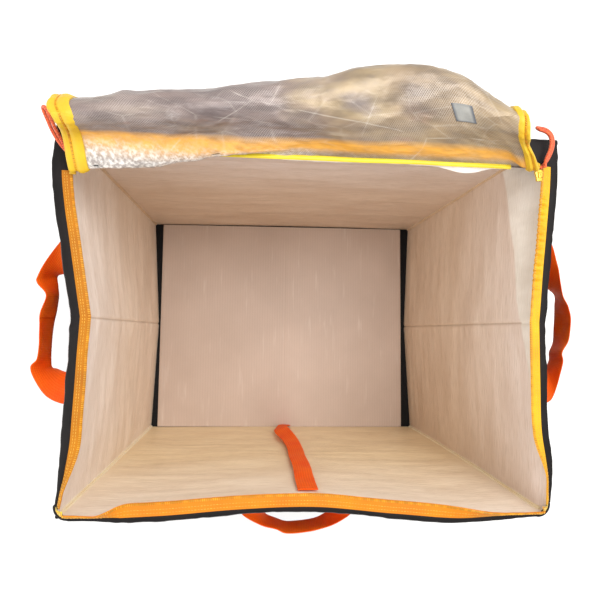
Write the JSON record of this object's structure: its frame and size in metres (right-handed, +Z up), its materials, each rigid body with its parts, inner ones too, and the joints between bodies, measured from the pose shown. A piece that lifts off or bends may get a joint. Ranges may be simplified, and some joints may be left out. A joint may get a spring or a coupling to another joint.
{
  "type": "collapsible insulated box bag",
  "caption": "Soft-sided insulated box bag with an open top, creased folding sides, a flip-back zipped lid, a lift-up floor board and webbing carry handles.",
  "frame": {"origin": "middle of the underside of the floor cloth", "axes": "+Z up, +Y towards the lid's hinge side, +X to the right seen from the front"},
  "size_m": [0.6996, 0.5188, 0.516],
  "materials": {
    "shell_fabric": "black coated woven shell",
    "rim_hem": "black binding with a stitched ridge",
    "floor_cloth": "black coated woven floor",
    "foam": "closed-cell foam",
    "liner_film": "wrinkled white laminated film",
    "lid_foil": "translucent aluminised film over a scrim",
    "zip_tape": "yellow-orange woven zip tape with a coil",
    "yellow_binding": "bright yellow narrow binding",
    "seam_binding": "cream seam binding",
    "rear_strip": "pale laminated cloth",
    "webbing": "orange woven webbing",
    "board_plastic": "fluted sheet plastic, lightly scuffed",
    "slider_metal": "enamelled die-cast zip slider",
    "pull_cord": "braided orange cord with darker flecks",
    "label": "blank printed panel"
  },
  "bodies": {
    "root": {"back_shell": "shell_fabric", "back_foam": "foam", "back_liner": "liner_film", "back_rim_hem": "rim_hem", "rear_corner_seams": "seam_binding", "rear_top_strip": "rear_strip", "lid_fold_binding": "yellow_binding", "floor_cloth": "floor_cloth"},
    "left_rear_wall": {"left_rear_shell": "shell_fabric", "left_rear_foam": "foam", "left_rear_liner": "liner_film", "left_rear_rim_hem": "rim_hem", "left_rear_zip_tape": "zip_tape", "left_rear_handle_patch": "webbing", "left_handle": "webbing"},
    "left_front_wall": {"left_front_shell": "shell_fabric", "left_front_foam": "foam", "left_front_liner": "liner_film", "left_front_rim_hem": "rim_hem", "left_front_zip_tape": "zip_tape", "left_front_handle_patch": "webbing"},
    "front_wall": {"front_shell": "shell_fabric", "front_foam": "foam", "front_liner": "liner_film", "front_rim_hem": "rim_hem", "front_zip_tape": "zip_tape", "front_corner_seams": "seam_binding", "front_handle_patches": "webbing", "front_handle": "webbing"},
    "right_rear_wall": {"right_rear_shell": "shell_fabric", "right_rear_foam": "foam", "right_rear_liner": "liner_film", "right_rear_rim_hem": "rim_hem", "right_rear_zip_tape": "zip_tape", "right_rear_handle_patch": "webbing", "right_handle": "webbing"},
    "right_front_wall": {"right_front_shell": "shell_fabric", "right_front_foam": "foam", "right_front_liner": "liner_film", "right_front_rim_hem": "rim_hem", "right_front_zip_tape": "zip_tape", "right_front_handle_patch": "webbing"},
    "board": {"floor_board": "board_plastic", "pull_strap": "webbing"},
    "lid_1": {"lid_1_shell": "shell_fabric", "lid_1_foil": "lid_foil", "lid_1_zip_tape": "zip_tape", "lid_label": "label"},
    "lid_2": {"lid_2_shell": "shell_fabric", "lid_2_foil": "lid_foil", "lid_2_zip_tape": "zip_tape"},
    "lid_3": {"lid_3_shell": "shell_fabric", "lid_3_foil": "lid_foil", "lid_3_zip_tape": "zip_tape"},
    "left_slider": {"left_slider": "slider_metal", "left_pull_cord": "pull_cord"},
    "right_slider": {"right_slider": "slider_metal", "right_pull_cord": "pull_cord"}
  },
  "joints": [
    {"name": "wall_collapse", "type": "hinge", "parent": "root", "child": "left_rear_wall", "pos_m": [-0.272, 0.206, 0], "axis": [0, 0, 1], "range_deg": [0, 82], "deforming": ["floor_cloth", "floor_board", "rear_top_strip", "pull_strap", "left_handle", "right_handle", "left_pull_cord", "right_pull_cord", "left_rear_zip_tape", "left_front_zip_tape", "front_zip_tape", "right_rear_zip_tape", "right_front_zip_tape"]},
    {"name": "left_crease_fold", "type": "hinge", "parent": "left_rear_wall", "child": "left_front_wall", "pos_m": [-0.2654, -0.00305, 0], "axis": [0, 0, 1], "range_deg": [-164, 0]},
    {"name": "front_corner_fold", "type": "hinge", "parent": "left_front_wall", "child": "front_wall", "pos_m": [-0.272, -0.2121, 0], "axis": [0, 0, 1], "range_deg": [0, 82]},
    {"name": "right_rear_fold", "type": "hinge", "parent": "root", "child": "right_rear_wall", "pos_m": [0.272, 0.206, 0], "axis": [0, 0, 1], "range_deg": [-82, 0]},
    {"name": "right_crease_fold", "type": "hinge", "parent": "right_rear_wall", "child": "right_front_wall", "pos_m": [0.2654, -0.00305, 0], "axis": [0, 0, 1], "range_deg": [0, 164]},
    {"name": "board_lift", "type": "hinge", "parent": "root", "child": "board", "pos_m": [0, 0.209, 0.006], "axis": [1, 0, 0], "range_deg": [-90, 0]},
    {"name": "lid_open", "type": "hinge", "parent": "root", "child": "lid_1", "pos_m": [0, 0.182, 0.459], "axis": [1, 0, 0], "range_deg": [0, 118]},
    {"name": "lid_bend_near", "type": "hinge", "parent": "lid_1", "child": "lid_2", "pos_m": [0, 0.21111, 0.51374], "axis": [1, 0, 0], "range_deg": [0, 77]},
    {"name": "lid_bend_far", "type": "hinge", "parent": "lid_2", "child": "lid_3", "pos_m": [0, 0.24781, 0.50391], "axis": [1, 0, 0], "range_deg": [0, 73]},
    {"name": "left_zip_travel", "type": "slide", "parent": "left_rear_wall", "child": "left_slider", "axis": [0.0698, -0.9976, 0], "range_m": [0, 0.14]},
    {"name": "right_zip_travel", "type": "slide", "parent": "right_rear_wall", "child": "right_slider", "axis": [-0.0698, -0.9976, 0], "range_m": [0, 0.14]}
  ],
  "couplings": [
    {"joint": "left_crease_fold", "follows": "wall_collapse", "ratio": -2},
    {"joint": "front_corner_fold", "follows": "wall_collapse", "ratio": 1},
    {"joint": "right_rear_fold", "follows": "wall_collapse", "ratio": -1},
    {"joint": "right_crease_fold", "follows": "wall_collapse", "ratio": 2},
    {"joint": "board_lift", "follows": "wall_collapse", "ratio": -1.0975},
    {"joint": "lid_bend_near", "follows": "lid_open", "ratio": 0.6525},
    {"joint": "lid_bend_far", "follows": "lid_open", "ratio": 0.6186}
  ]
}
